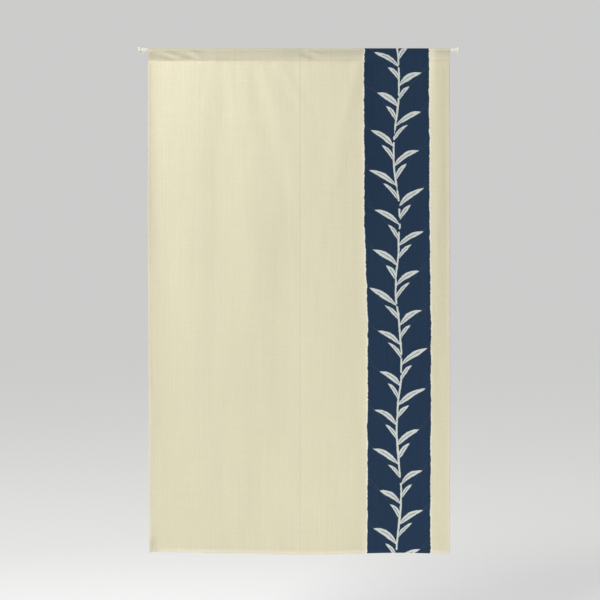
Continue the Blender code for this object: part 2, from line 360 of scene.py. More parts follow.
def rowsBelow(drop):
    # heights from just under the seam to the hem's edge
    length = drop - cloth["stitchDrop"]
    depths = [sheetGrid["nearStep"] * step for step in range(1, sheetGrid["nearRows"] + 1)]
    nearEnd = depths[-1]
    plainEnd = length - cloth["bottomHem"] - sheetGrid["besideHem"]
    wide = sheetGrid["wideRows"]
    depths += [nearEnd + (plainEnd - nearEnd) * step / wide for step in range(1, wide + 1)]
    depths += [length - cloth["bottomHem"] * share for share in reversed(sheetGrid["hemShares"])]
    depths += [length - roll for roll in reversed(sheetGrid["rollSteps"])]
    return [-cloth["stitchDrop"] - depth for depth in depths]


def columnsAcross(left, right):
    # distances from the panel's left edge, closer together at a side hem
    width = right - left
    hem = cloth["sideHem"]
    hemmed = list(sheetGrid["rollSteps"]) + [hem * share for share in sheetGrid["hemShares"]]
    hemmed.append(hem + sheetGrid["besideHem"])
    cut = [0.0, sheetGrid["cutStep"]]
    start = hemmed if left == cloth["left"] else cut
    end = [width - distance for distance in reversed(hemmed if right == cloth["right"] else cut)]
    count = round((end[0] - start[-1]) / sheetGrid["columnStep"])
    middle = [start[-1] + (end[0] - start[-1]) * step / count for step in range(1, count)]
    return start + middle + end


def hemShare(left, right, fromLeft, z, drop):
    # 1 on a turned hem, 0 on single cloth
    fromRight = right - left - fromLeft
    low = z < -(cloth["stitchDrop"] + cloth["tail"] + 0.001)
    side = (left == cloth["left"] and fromLeft <= cloth["sideHem"] + 1e-6) or (
        right == cloth["right"] and fromRight <= cloth["sideHem"] + 1e-6
    )
    bottom = z + drop <= cloth["bottomHem"] + 1e-6
    return 1.0 if low and (side or bottom) else 0.0


def foldedEdge(distance):
    return hemShape["roll"] * max(0.0, 1.0 - distance / hemShape["rollWidth"]) ** 2


def hemDent(distance, width):
    proud = hemShape["proud"] * smoothStep((width - distance) / hemShape["rise"] + 0.5)
    fromStitches = distance - (width - hemShape["stitchInset"])
    return proud - hemShape["pull"] * bell(fromStitches, hemShape["pullWidth"])


def surfacePoint(left, right, fromLeft, y, z, drop, front):
    # where the face side of the cloth lies, and 1 or 0 for hem or single cloth
    low, high = edgesAt(left, right, z)
    x = low + (high - low) * fromLeft / (right - left)
    relief = foldRelief(x, z) + smallRelief(x, z)
    if front and z > -cloth["stitchDrop"]:
        relief += sleeveRelief(x, z)
    share = hemShare(left, right, fromLeft, z, drop)
    inward = 1.0 if front else -1.0
    if left == cloth["left"]:
        y += foldedEdge(fromLeft) * inward
        relief += hemDent(fromLeft, cloth["sideHem"]) * share
    if right == cloth["right"]:
        fromRight = right - left - fromLeft
        y += foldedEdge(fromRight) * inward
        relief += hemDent(fromRight, cloth["sideHem"]) * share
    if front and z < -1.0:
        y += foldedEdge(z + drop)
        relief += hemDent(z + drop, cloth["bottomHem"]) * share
    return (x, y - relief - cornerCurl(x, z), z), share


def makePanel(name, left, right, looks, node):
    columns = columnsAcross(left, right)
    points, coordinates, hems, hemLightAndShadeShares, paintedLightAndShades = [], [], [], [], []
    for fromLeft in columns:
        flatX = left + fromLeft
        drop = dropAt(flatX)
        rows = sleeveRows(flatX)
        seam = rows[-1][2]
        rows += [(-faceOffset, z, seam - cloth["stitchDrop"] - z) for z in rowsBelow(drop)]
        for place, (y, z, down) in enumerate(rows):
            point, share = surfacePoint(left, right, fromLeft, y, z, drop, place > sleeveCrown)
            points.append(point)
            coordinates.append((flatX - cloth["left"], down))
            hems.append(share)
            atBottom = z + drop <= cloth["bottomHem"] + 1e-6
            # the bottom hem gets a painted highlight, a side hem painted shade
            hemLightAndShadeShares.append(share if atBottom else -share)
            # painted highlights and painted shade on the sleeve's front and in the lower left corner
            toned = place > sleeveCrown and (z > -cloth["stitchDrop"] or z < cloth["cornerTop"])
            paintedLightAndShades.append(paintedLightAndShadeAt(point[0], z) if toned else 0.0)
    count = len(rows)
    faces = []
    for column in range(len(columns) - 1):
        for row in range(count - 1):
            corner = column * count + row
            faces.append((corner, corner + 1, corner + count + 1, corner + count))
    mesh = bpy.data.meshes.new(name)
    mesh.from_pydata(points, [], faces)
    layer = mesh.uv_layers.new(name="clothMetres")
    for loop in mesh.loops:
        layer.data[loop.index].uv = coordinates[loop.vertex_index]
    for layerName, values in (("hemWithPaintedLightAndShade", hemLightAndShadeShares), ("paintedLightAndShade", paintedLightAndShades)):
        tones = mesh.attributes.new(layerName, "FLOAT", "POINT")
        tones.data.foreach_set("value", values)
    panel = bpy.data.objects.new(name, mesh)
    bpy.context.scene.collection.objects.link(panel)
    for look in looks:
        mesh.materials.append(look)
    hemGroup = panel.vertex_groups.new(name="hem")
    hemGroup.add([index for index, value in enumerate(hems) if value], 1.0, "REPLACE")
    bpy.ops.object.select_all(action="DESELECT")
    panel.select_set(True)
    bpy.context.view_layer.objects.active = panel
    shell = panel.modifiers.new("clothThickness", "SOLIDIFY")
    shell.thickness = cloth["hemThickness"]
    shell.offset = -1.0
    shell.vertex_group = hemGroup.name
    shell.thickness_vertex_group = cloth["thickness"] / cloth["hemThickness"]
    shell.use_quality_normals = True
    shell.material_offset = 1
    bpy.ops.object.modifier_apply(modifier=shell.name)
    bpy.ops.object.shade_smooth_by_angle(angle=math.radians(50))
    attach(panel, "root")
    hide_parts(node)
    print(name, "has", len(panel.data.polygons), "faces")
    return panel


# Machine stitches: one is shaped, repeated by an array, and bent along the seam
thread = {
    "length": 0.0027,
    "pitch": 0.0034,
    "halfWidth": 0.00022,
    "lift": 0.00008,
    "endInset": 0.0010,  # how far from a panel's edge a seam across it starts
    "underSleeve": 0.002,
    "overHem": 0.0012,
    "acrossSteps": 150,
    "downSteps": 400,
}


def makeStitchRun(name, route, look):
    bpy.ops.object.select_all(action="DESELECT")
    alongX = (0.0, math.pi / 2, 0.0)
    bpy.ops.mesh.primitive_uv_sphere_add(segments=6, ring_count=4, radius=1.0, rotation=alongX)
    run = bpy.context.object
    run.name = name
    bpy.ops.object.transform_apply(rotation=True)
    bpy.ops.object.mode_set(mode="EDIT")
    bpy.ops.mesh.select_all(action="SELECT")
    size = thread["halfWidth"]
    bpy.ops.transform.resize(value=(thread["length"] / 2.0, size, size))
    bpy.ops.transform.translate(value=(thread["pitch"] / 2.0, 0.0, 0.0))
    bpy.ops.object.mode_set(mode="OBJECT")
    total = sum(math.dist(a, b) for a, b in zip(route, route[1:]))
    repeat = run.modifiers.new("stitches", "ARRAY")
    repeat.use_relative_offset = False
    repeat.use_constant_offset = True
    repeat.constant_offset_displace = (thread["pitch"], 0.0, 0.0)
    repeat.count = int(total / thread["pitch"])
    bpy.ops.object.modifier_apply(modifier=repeat.name)
    seam = bpy.data.curves.new(name + "Seam", "CURVE")
    seam.dimensions = "3D"
    seam.twist_mode = "MINIMUM"
    line = seam.splines.new("POLY")
    line.points.add(len(route) - 1)
    for point, place in zip(line.points, route):
        point.co = (*place, 1.0)
    seamLine = bpy.data.objects.new(name + "Seam", seam)
    bpy.context.scene.collection.objects.link(seamLine)
    follow = run.modifiers.new("alongSeam", "CURVE")
    follow.object = seamLine
    follow.deform_axis = "POS_X"
    bpy.ops.object.modifier_apply(modifier=follow.name)
    bpy.data.objects.remove(seamLine)
    bpy.ops.object.shade_smooth()
    run.data.materials.append(look)
    return run


def acrossPanel(left, right):
    # distances from the panel's left edge along a seam that runs across it
    width = right - left - 2.0 * thread["endInset"]
    steps = thread["acrossSteps"]
    return [thread["endInset"] + width * step / steps for step in range(steps + 1)]


def sleeveSeam(left, right, atBack):
    y = faceOffset if atBack else -faceOffset
    lift = thread["lift"] if atBack else -thread["lift"]
    route = []
    for fromLeft in acrossPanel(left, right):
        drop = dropAt(left + fromLeft)
        point, share = surfacePoint(left, right, fromLeft, y, -cloth["stitchDrop"], drop, not atBack)
        route.append((point[0], point[1] + lift, point[2]))
    return route


def hemSeamPoint(left, right, fromLeft, z, atBack):
    drop = dropAt(left + fromLeft)
    point, share = surfacePoint(left, right, fromLeft, -faceOffset, z, drop, True)
    lift = cloth["hemThickness"] + thread["lift"] if atBack else -thread["lift"]
    return (point[0], point[1] + lift, point[2])


def bottomSeam(left, right, atBack):
    up = cloth["bottomHem"] - hemShape["stitchInset"]
    route = []
    for fromLeft in acrossPanel(left, right):
        route.append(hemSeamPoint(left, right, fromLeft, up - dropAt(left + fromLeft), atBack))
    return route


def sideSeam(left, right, atBack):
    inset = cloth["sideHem"] - hemShape["stitchInset"]
    fromLeft = inset if left == cloth["left"] else right - left - inset
    top = -cloth["stitchDrop"] - cloth["tail"] - thread["underSleeve"]
    foot = thread["overHem"] - dropAt(left + fromLeft)
    steps = thread["downSteps"]
    heights = [top + (foot - top) * step / steps for step in range(steps + 1)]
    return [hemSeamPoint(left, right, fromLeft, z, atBack) for z in heights]


def stitchPanel(name, left, right, look):
    runs = []
    seams = (("SleeveStitches", sleeveSeam), ("HemStitches", bottomSeam), ("SideStitches", sideSeam))
    for side, atBack in (("Front", False), ("Back", True)):
        for seamName, makeRoute in seams:
            runs.append(makeStitchRun(name + seamName + side, makeRoute(left, right, atBack), look))
    bpy.ops.object.select_all(action="DESELECT")
    for run in runs:
        run.select_set(True)
    bpy.context.view_layer.objects.active = runs[0]
    bpy.ops.object.join()
    stitches = bpy.context.object
    stitches.name = name + "Stitches"
    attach(stitches, "root")
    print(stitches.name, "has", len(stitches.data.polygons), "faces")
    return stitches


# Shader helpers: each returns an output socket
def calc(tree, operation, *values):
    node = tree.nodes.new("ShaderNodeMath")
    node.operation = operation
    for place, value in enumerate(values):
        if isinstance(value, (int, float)):
            node.inputs[place].default_value = value
        else:
            tree.links.new(value, node.inputs[place])
    return node.outputs[0]


def softStep(tree, value, start, end):
    node = tree.nodes.new("ShaderNodeMapRange")
    node.interpolation_type = "SMOOTHSTEP"
    tree.links.new(value, node.inputs["Value"])
    for name, limit in (("From Min", start), ("From Max", end)):
        if isinstance(limit, (int, float)):
            node.inputs[name].default_value = limit
        else:
            tree.links.new(limit, node.inputs[name])
    return node.outputs["Result"]


def noiseAt(tree, place, scale, detail=2.0, shift=0.0, color=False):
    mapping = tree.nodes.new("ShaderNodeMapping")
    mapping.inputs["Scale"].default_value = scale
    mapping.inputs["Location"].default_value = (shift, shift * 0.7, shift * 1.3)
    tree.links.new(place, mapping.inputs["Vector"])
    texture = tree.nodes.new("ShaderNodeTexNoise")
    texture.inputs["Scale"].default_value = 1.0
    texture.inputs["Detail"].default_value = detail
    tree.links.new(mapping.outputs["Vector"], texture.inputs["Vector"])
    return texture.outputs["Color" if color else "Fac"]


def mixTone(tree, share, first, second):
    node = tree.nodes.new("ShaderNodeMix")
    node.data_type = "RGBA"
    for place, value in ((0, share), (6, first), (7, second)):
        if isinstance(value, (int, float)):
            node.inputs[place].default_value = value
        elif isinstance(value, tuple):
            node.inputs[place].default_value = (*value, 1.0)
        else:
            tree.links.new(value, node.inputs[place])
    return node.outputs[2]


def addBump(tree, shader, height, strength, distance):
    bump = tree.nodes.new("ShaderNodeBump")
    bump.inputs["Strength"].default_value = strength
    bump.inputs["Distance"].default_value = distance
    tree.links.new(height, bump.inputs["Height"])
    tree.links.new(bump.outputs["Normal"], shader.inputs["Normal"])


def newLook(name):
    look = bpy.data.materials.new(name)
    look.use_nodes = True
    tree = look.node_tree
    shader = tree.nodes["Principled BSDF"]
    return look, tree, shader


clothLook = {
    "cream": (0.845, 0.812, 0.655),
    "creamDeep": (0.700, 0.671, 0.533),
    "creamGlow": (0.93, 0.895, 0.735),
    "navy": (0.0124, 0.0330, 0.0710),
    "navyDeep": (0.0083, 0.0237, 0.0535),
    "chalk": (0.630, 0.668, 0.642),
    "palePrint": (0.93, 0.955, 0.90),
    "hemPaintedLight": (0.92, 0.90, 0.80),
    "hemPaintedShade": (0.52, 0.51, 0.44),
    "sleevePaintedShade": (0.56, 0.545, 0.425),  # painted shade on the doubled cloth round the rod
    "sleeveShadeDepth": (0.15, 0.28, 0.30),  # how deep that painted shade is at the left, beyond the slit and right of the band
    "sleeveEnd": (0.0394, 0.0275),  # where that ends, down the cloth, at the left and beyond the slit
    "sleeveSoft": (0.0006, 0.0085),  # half the width of that end
    "sleeveBeyond": (0.31, 0.47),  # where across the cloth those change
    "sleeveStrip": (0.60, 0.86),
    "slitPaintedShade": (0.20, 0.14),  # how deep the painted shade at the slit's edges is at the top, and how much more a metre down
    "slitShadeWidth": (0.0012, 0.0004),
    "slitHighlight": 0.10,  # and how strong the painted highlight is on the cloth just right of it
    "slitHighlightFrom": (0.0012, 0.0020),
    "slitHighlightTo": (0.0070, 0.0050),
    # the tones of the painted highlights and the painted shade
    "paintedLightTone": (0.93, 0.895, 0.735),
    "paintedShadeTone": (0.50, 0.475, 0.350),
    # how much painted highlight the bottom hem gets, and how much painted shade the side hems get
    "bottomHemHighlight": 0.05,
    "sideHemShade": 0.07,
    "sheer": 0.50,  # share of the cloth that lets light through
    "sheerOnRod": 0.72,  # how much of that is left in the sleeve, with the rod and a second layer behind
    "rodReach": (0.0375, 0.0400),
    "sheerPrint": 0.06,
    "hemSheer": 0.30,  # how much less a hem lets through
    "roughness": 0.90,
    "sheen": 0.08,
    "sheenRoughness": 0.5,
    "gloss": 0.2,
    "bump": (0.35, 0.0004),
    "slubRelief": 0.6,
}

# Uneven yarns both ways, thicker slubs among them, streaks, grain and a slow mottle
WeaveLayer = namedtuple("WeaveLayer", "scale detail shift weight")
weave = {
    "warp": WeaveLayer((1250.0, 22.0, 1.0), 1.0, 2.0, 0.5),
    "weft": WeaveLayer((22.0, 1250.0, 1.0), 1.0, 9.0, 0.5),
    "slubUp": WeaveLayer((330.0, 4.0, 1.0), 2.0, 15.0, 0.6),
    "slubAcross": WeaveLayer((5.0, 300.0, 1.0), 2.0, 27.0, 0.4),
    "streaks": WeaveLayer((190.0, 3.5, 1.0), 2.0, 53.0, 0.45),
    "grain": WeaveLayer((340.0, 340.0, 1.0), 1.0, 67.0, 1.55),
    "mottle": WeaveLayer((7.0, 3.0, 1.0), 2.0, 39.0, 0.3),
}
weaveTone = {"yarns": 0.8, "slubs": 0.8, "middle": 1.45, "range": (-0.15, 1.15)}

printBand = {
    "leftTop": 0.6390,
    "leftFoot": 0.6487,
    "rightTop": 0.8308,
    "rightFoot": 0.8350,
    "driftStart": 0.46,
    "driftEnd": 0.84,
    "edgeWobble": 0.0034,
    "edgeBite": 0.0032,
    "edgeSoft": 0.0006,
    "paleWidth": 0.0040,
    "paleShare": 0.90,
    # a painted highlight on the cloth beside the band
    "sideHighlightWidth": 0.024,
    "sideHighlightShare": (0.30, 0.78, 0.08),  # left of the band, and right of it at the top and lower down
    "sideHighlightFades": (0.05, 0.24),
    "sideHighlightStarts": (0.10, 0.30),  # where it starts at the left
    "sideHighlightInside": 0.002,
    "wobbleScale": (4.0, 26.0, 1.0),
    "biteScale": (90.0, 190.0, 1.0),
    "paleScale": (60.0, 45.0, 1.0),
    "paleReach": (1.6, 0.05),
    "reverseDepth": 0.72,  # how much of the ink comes through to the back
    "strokeSheer": 0.5,
}

# A plain spray of willow leaves up the band: a waving stem, with a long leaf and a short one at each step
Leaf = namedtuple("Leaf", "side angle length halfWidth bend start")
leafPrint = {
    "step": 0.0590,
    "stemWave": 0.0075,
    "stemPitch": 0.41,
    "stemHalf": 0.0021,
    "handShake": 0.0050,
    "fineShake": 0.0016,
    "soft": 0.0006,
    "veinHalf": 0.0007,
    "veinMiddle": 0.42,
    "veinEnds": (0.26, 0.34),
    "taper": 0.8,
    "brush": (0.9, 0.55),
    "breaks": (0.36, 0.42),
    "stemLeast": 0.0011,
    "plump": (0.22, 0.86),
}
leafKinds = (
    Leaf(side=1.0, angle=33.0, length=0.0900, halfWidth=0.0082, bend=0.0075, start=0.0000),
    Leaf(side=-1.0, angle=52.0, length=0.0600, halfWidth=0.0062, bend=0.0050, start=0.0180),
)


def bandMask(tree, across, down, place):
    drift = softStep(tree, down, printBand["driftStart"], printBand["driftEnd"])
    sides = []
    for name, shift in (("left", 3.0), ("right", 11.0)):
        top, foot = printBand[name + "Top"], printBand[name + "Foot"]
        line = calc(tree, "MULTIPLY_ADD", drift, foot - top, top)
        wobble = calc(tree, "SUBTRACT", noiseAt(tree, place, printBand["wobbleScale"], 2.0, shift), 0.5)
        bite = calc(tree, "SUBTRACT", noiseAt(tree, place, printBand["biteScale"], 2.0, shift + 5.0), 0.5)
        line = calc(tree, "MULTIPLY_ADD", wobble, printBand["edgeWobble"] * 2.0, line)
        sides.append(calc(tree, "MULTIPLY_ADD", bite, printBand["edgeBite"] * 2.0, line))
    soft = printBand["edgeSoft"]
    inLeft = softStep(tree, calc(tree, "SUBTRACT", across, sides[0]), -soft, soft)
    inRight = softStep(tree, calc(tree, "SUBTRACT", sides[1], across), -soft, soft)
    gaps = (calc(tree, "SUBTRACT", sides[0], across), calc(tree, "SUBTRACT", across, sides[1]))
    # a pale line of bare, bleached cloth runs beside the ink and comes and goes
    outside = calc(tree, "MAXIMUM", *gaps)
    patchy = noiseAt(tree, place, printBand["paleScale"], 2.0, 71.0)
    reach = calc(tree, "MULTIPLY_ADD", patchy, *printBand["paleReach"])
    reach = calc(tree, "MULTIPLY", reach, printBand["paleWidth"])
    beside = softStep(tree, calc(tree, "SUBTRACT", reach, outside), -soft * 1.5, soft * 1.5)
    # and the cloth for two centimetres beside it gets a painted highlight, most at the top right
    leftShare, topShare, lowShare = printBand["sideHighlightShare"]
    fading = softStep(tree, down, *printBand["sideHighlightFades"])
    rightShare = calc(tree, "MULTIPLY_ADD", fading, lowShare - topShare, topShare)
    bandSideHighlights = []
    for gap, share in zip(gaps, (leftShare, rightShare)):
        near = calc(tree, "MULTIPLY", softStep(tree, gap, printBand["sideHighlightWidth"], 0.0), share)
        onItsSide = softStep(tree, gap, -printBand["sideHighlightInside"], 0.0)
        bandSideHighlights.append(calc(tree, "MULTIPLY", near, onItsSide))
    topMiddle = (printBand["leftTop"] + printBand["rightTop"]) / 2.0
    footMiddle = (printBand["leftFoot"] + printBand["rightFoot"]) / 2.0
    middle = calc(tree, "MULTIPLY_ADD", drift, footMiddle - topMiddle, topMiddle)
    leftStarts = softStep(tree, down, *printBand["sideHighlightStarts"])
    bandSideHighlight = calc(tree, "MULTIPLY_ADD", bandSideHighlights[0], leftStarts, bandSideHighlights[1])
    return calc(tree, "MULTIPLY", inLeft, inRight), calc(tree, "SUBTRACT", across, middle), beside, bandSideHighlight


def shakenPlace(tree, aside, down, place):
    wide = noiseAt(tree, place, (13.0, 13.0, 1.0), 1.0, 21.0, color=True)
    fine = noiseAt(tree, place, (130.0, 130.0, 1.0), 2.0, 33.0, color=True)
    shaken = []
    for start, channel in ((aside, 0), (calc(tree, "MULTIPLY", down, -1.0), 1)):
        for source, size in ((wide, leafPrint["handShake"]), (fine, leafPrint["fineShake"])):
            parts = tree.nodes.new("ShaderNodeSeparateColor")
            tree.links.new(source, parts.inputs[0])
            offset = calc(tree, "SUBTRACT", parts.outputs[channel], 0.5)
            start = calc(tree, "MULTIPLY_ADD", offset, size * 2.0, start)
        shaken.append(start)
    return shaken


def leafMask(tree, leaf, x, y, plump, brush):
    # x and y from the leaf's foot on the stem; the blade bows and tapers to both ends
    turn = math.radians(leaf.angle)
    along = calc(tree, "MULTIPLY_ADD", x, math.cos(turn), calc(tree, "MULTIPLY", y, math.sin(turn)))
    aside = calc(tree, "MULTIPLY_ADD", x, -math.sin(turn), calc(tree, "MULTIPLY", y, math.cos(turn)))
    share = calc(tree, "DIVIDE", along, calc(tree, "MULTIPLY", plump, leaf.length))
    rest = calc(tree, "SUBTRACT", 1.0, share)
    hump = calc(tree, "MAXIMUM", calc(tree, "MULTIPLY", calc(tree, "MULTIPLY", share, rest), 4.0), 0.0)
    halfWidth = calc(tree, "MULTIPLY", brush, leaf.halfWidth)
    half = calc(tree, "MULTIPLY", calc(tree, "POWER", hump, leafPrint["taper"]), halfWidth)
    off = calc(tree, "ABSOLUTE", calc(tree, "MULTIPLY_ADD", hump, -leaf.bend, aside))
    soft = leafPrint["soft"]
    blade = softStep(tree, calc(tree, "SUBTRACT", half, off), -soft * 0.5, soft * 1.5)
    vein = softStep(tree, off, leafPrint["veinHalf"] - soft, leafPrint["veinHalf"] + soft)
    veinStops = calc(tree, "ABSOLUTE", calc(tree, "SUBTRACT", share, leafPrint["veinMiddle"]))
    vein = calc(tree, "MAXIMUM", vein, softStep(tree, veinStops, *leafPrint["veinEnds"]))
    return calc(tree, "MULTIPLY", blade, vein)


def sprayMask(tree, aside, down, place):
    x, y = shakenPlace(tree, aside, down, place)
    swing = calc(tree, "SINE", calc(tree, "MULTIPLY", y, math.tau / leafPrint["stemPitch"]))
    x = calc(tree, "MULTIPLY_ADD", swing, leafPrint["stemWave"], x)
    brush = noiseAt(tree, place, (18.0, 18.0, 1.0), 1.0, 47.0)
    brush = calc(tree, "MULTIPLY_ADD", brush, *leafPrint["brush"])
    stemHalf = calc(tree, "MULTIPLY", brush, leafPrint["stemHalf"])
    breaks = softStep(tree, noiseAt(tree, place, (5.0, 34.0, 1.0), 1.0, 61.0), *leafPrint["breaks"])
    stemHalf = calc(tree, "MULTIPLY", stemHalf, breaks)
    stemHalf = calc(tree, "MULTIPLY_ADD", breaks, leafPrint["stemLeast"], stemHalf)
    inStem = calc(tree, "SUBTRACT", stemHalf, calc(tree, "ABSOLUTE", x))
    spray = softStep(tree, inStem, 0.0, leafPrint["soft"] * 2.0)
    step = leafPrint["step"]
    nearest = calc(tree, "FLOOR", calc(tree, "DIVIDE", y, step))
    for back in (0.0, 1.0, 2.0):
        row = calc(tree, "SUBTRACT", nearest, back)
        odd = calc(tree, "FLOORED_MODULO", row, 2.0)
        side = calc(tree, "MULTIPLY_ADD", odd, -2.0, 1.0)
        lot = tree.nodes.new("ShaderNodeTexWhiteNoise")
        lot.noise_dimensions = "1D"
        tree.links.new(row, lot.inputs["W"])
        plump = calc(tree, "MULTIPLY_ADD", lot.outputs["Value"], *leafPrint["plump"])
        rise = calc(tree, "MULTIPLY_ADD", row, -step, y)
        for leaf in leafKinds:
            outward = calc(tree, "MULTIPLY", calc(tree, "MULTIPLY", side, leaf.side), x)
            height = calc(tree, "SUBTRACT", rise, leaf.start)
            spray = calc(tree, "MAXIMUM", spray, leafMask(tree, leaf, outward, height, plump, brush))
    return spray


def sleeveShade(tree, across, fromCrown):
    # painted shade on the sleeve: crisp at its seam on the left, softer and shorter beyond the slit, and
    # fainter right of the band
    beyond = softStep(tree, across, *clothLook["sleeveBeyond"])
    strip = softStep(tree, across, *clothLook["sleeveStrip"])
    left, middle, right = clothLook["sleeveShadeDepth"]
    depth = calc(tree, "MULTIPLY_ADD", beyond, middle - left, left)
    depth = calc(tree, "MULTIPLY_ADD", strip, right - middle, depth)
    (nearEnd, farEnd), (nearSoft, farSoft) = clothLook["sleeveEnd"], clothLook["sleeveSoft"]
    end = calc(tree, "MULTIPLY_ADD", beyond, farEnd - nearEnd, nearEnd)
    soft = calc(tree, "MULTIPLY_ADD", beyond, farSoft - nearSoft, nearSoft)
    past = softStep(tree, fromCrown, calc(tree, "SUBTRACT", end, soft), calc(tree, "ADD", end, soft))
    return calc(tree, "MULTIPLY", depth, calc(tree, "SUBTRACT", 1.0, past))


def weaveNodes(tree, place):
    # how light each yarn looks, and how high it stands
    layers = {}
    for name, layer in weave.items():
        pattern = noiseAt(tree, place, layer.scale, layer.detail, layer.shift)
        layers[name] = calc(tree, "MULTIPLY", pattern, layer.weight)
    yarns = calc(tree, "ADD", layers["warp"], layers["weft"])
    slubs = calc(tree, "ADD", layers["slubUp"], layers["slubAcross"])
    slubTone = calc(tree, "MULTIPLY", slubs, weaveTone["slubs"])
    tone = calc(tree, "MULTIPLY_ADD", yarns, weaveTone["yarns"], slubTone)
    tone = calc(tree, "ADD", layers["streaks"], calc(tree, "ADD", layers["grain"], tone))
    tone = calc(tree, "ADD", layers["mottle"], calc(tree, "SUBTRACT", tone, weaveTone["middle"]))
    height = calc(tree, "MULTIPLY_ADD", slubs, clothLook["slubRelief"], yarns)
    return softStep(tree, tone, *weaveTone["range"]), height


def pointTone(tree, name):
    # a value that the panel's points carry, apart into what is above 0 and what is below
    node = tree.nodes.new("ShaderNodeAttribute")
    node.attribute_name = name
    value = node.outputs["Fac"]
    return value, calc(tree, "MAXIMUM", value, 0.0), calc(tree, "MINIMUM", value, 0.0)


def plainCloth(tree, tone, across, down, fromCrown, hemLightAndShadeShares):
    # cream yarns, hems, the slit's line, the doubled cloth of the sleeve and its wrinkles
    plain = mixTone(tree, tone, clothLook["creamDeep"], clothLook["cream"])
    bottomHem, sideHem = hemLightAndShadeShares
    # a painted highlight on the bottom hem and painted shade on the side hems
    hemHighlight = calc(tree, "MULTIPLY", bottomHem, clothLook["bottomHemHighlight"])
    plain = mixTone(tree, hemHighlight, plain, clothLook["hemPaintedLight"])
    hemShade = calc(tree, "MULTIPLY", sideHem, -clothLook["sideHemShade"])
    plain = mixTone(tree, hemShade, plain, clothLook["hemPaintedShade"])
    # painted shade along the slit's edges and a painted highlight on the cloth just right of it
    fromSlit = calc(tree, "SUBTRACT", across, cloth["slit"] - cloth["left"])
    slitPaintedShade, slitShadeGrowth = clothLook["slitPaintedShade"]
    slitShade = softStep(tree, calc(tree, "ABSOLUTE", fromSlit), *clothLook["slitShadeWidth"])
    slitShade = calc(tree, "MULTIPLY", slitShade, calc(tree, "MULTIPLY_ADD", down, slitShadeGrowth, slitPaintedShade))
    highlightStarts = softStep(tree, fromSlit, *clothLook["slitHighlightFrom"])
    highlightEnds = softStep(tree, fromSlit, *clothLook["slitHighlightTo"])
    slitHighlightShare = calc(tree, "MULTIPLY", highlightStarts, highlightEnds)
    slitHighlightShare = calc(tree, "MULTIPLY", slitHighlightShare, clothLook["slitHighlight"])
    plain = mixTone(tree, slitHighlightShare, plain, clothLook["paintedLightTone"])
    plain = mixTone(tree, slitShade, plain, clothLook["paintedShadeTone"])
    # painted shade on the sleeve's doubled cloth
    plain = mixTone(tree, sleeveShade(tree, across, fromCrown), plain, clothLook["sleevePaintedShade"])
    # painted highlights and painted shade of the wrinkles, the rod's top and the corner
    lightAndShade, paler, deeper = pointTone(tree, "paintedLightAndShade")
    plain = mixTone(tree, paler, plain, clothLook["paintedLightTone"])
    return mixTone(tree, calc(tree, "MULTIPLY", deeper, -1.0), plain, clothLook["paintedShadeTone"])


def makeClothLook(name, printed, reverse):
    look, tree, shader = newLook(name)
    uvNode = tree.nodes.new("ShaderNodeUVMap")
    uvNode.uv_map = "clothMetres"
    place = uvNode.outputs["UV"]
    split = tree.nodes.new("ShaderNodeSeparateXYZ")
    tree.links.new(place, split.inputs[0])
    across, down = split.outputs[0], split.outputs[1]
    fromCrown = calc(tree, "ABSOLUTE", down)
    tone, height = weaveNodes(tree, place)
    hem, *hemLightAndShadeShares = pointTone(tree, "hemWithPaintedLightAndShade")
    plain = plainCloth(tree, tone, across, down, fromCrown, hemLightAndShadeShares)
    color = plain
    sheer = clothLook["sheer"]
    if printed:
        band, aside, beside, bandSideHighlight = bandMask(tree, across, down, place)
        # a painted highlight on the cloth beside the band
        plain = mixTone(tree, bandSideHighlight, plain, clothLook["paintedLightTone"])
        bleached = calc(tree, "MULTIPLY", beside, printBand["paleShare"])
        color = mixTone(tree, bleached, plain, clothLook["palePrint"])
        strokes = sprayMask(tree, aside, down, place)
        ink = mixTone(tree, softStep(tree, tone, 0.0, 1.0), clothLook["navyDeep"], clothLook["navy"])
        inked = mixTone(tree, strokes, ink, clothLook["chalk"])
        depth = printBand["reverseDepth"] if reverse else 1.0
        color = mixTone(tree, calc(tree, "MULTIPLY", band, depth), color, inked)
        solid = calc(tree, "SUBTRACT", 1.0, calc(tree, "MULTIPLY", strokes, printBand["strokeSheer"]))
        blocked = calc(tree, "MULTIPLY", band, solid)
        sheer = calc(tree, "MULTIPLY_ADD", blocked, clothLook["sheerPrint"] - sheer, sheer)
    folded = calc(tree, "ABSOLUTE", hem)
    sheer = calc(tree, "MULTIPLY", calc(tree, "MULTIPLY_ADD", folded, -clothLook["hemSheer"], 1.0), sheer)
    pastRod = softStep(tree, fromCrown, *clothLook["rodReach"])
    let = calc(tree, "MULTIPLY_ADD", pastRod, 1.0 - clothLook["sheerOnRod"], clothLook["sheerOnRod"])
    sheer = calc(tree, "MULTIPLY", let, sheer)
    tree.links.new(color, shader.inputs["Base Color"])
    shader.inputs["Roughness"].default_value = clothLook["roughness"]
    shader.inputs["Sheen Weight"].default_value = clothLook["sheen"]
    shader.inputs["Sheen Roughness"].default_value = clothLook["sheenRoughness"]
    shader.inputs["Specular IOR Level"].default_value = clothLook["gloss"]
    addBump(tree, shader, height, *clothLook["bump"])
    glow = tree.nodes.new("ShaderNodeBsdfTranslucent")
    glowTone = mixTone(tree, 0.5, plain, clothLook["creamGlow"])
    if printed:
        glowTone = mixTone(tree, band, glowTone, color)
    tree.links.new(glowTone, glow.inputs["Color"])
    blend = tree.nodes.new("ShaderNodeMixShader")
    tree.links.new(sheer, blend.inputs["Fac"])
    tree.links.new(shader.outputs["BSDF"], blend.inputs[1])
    tree.links.new(glow.outputs["BSDF"], blend.inputs[2])
    tree.links.new(blend.outputs["Shader"], tree.nodes["Material Output"].inputs["Surface"])
    return look


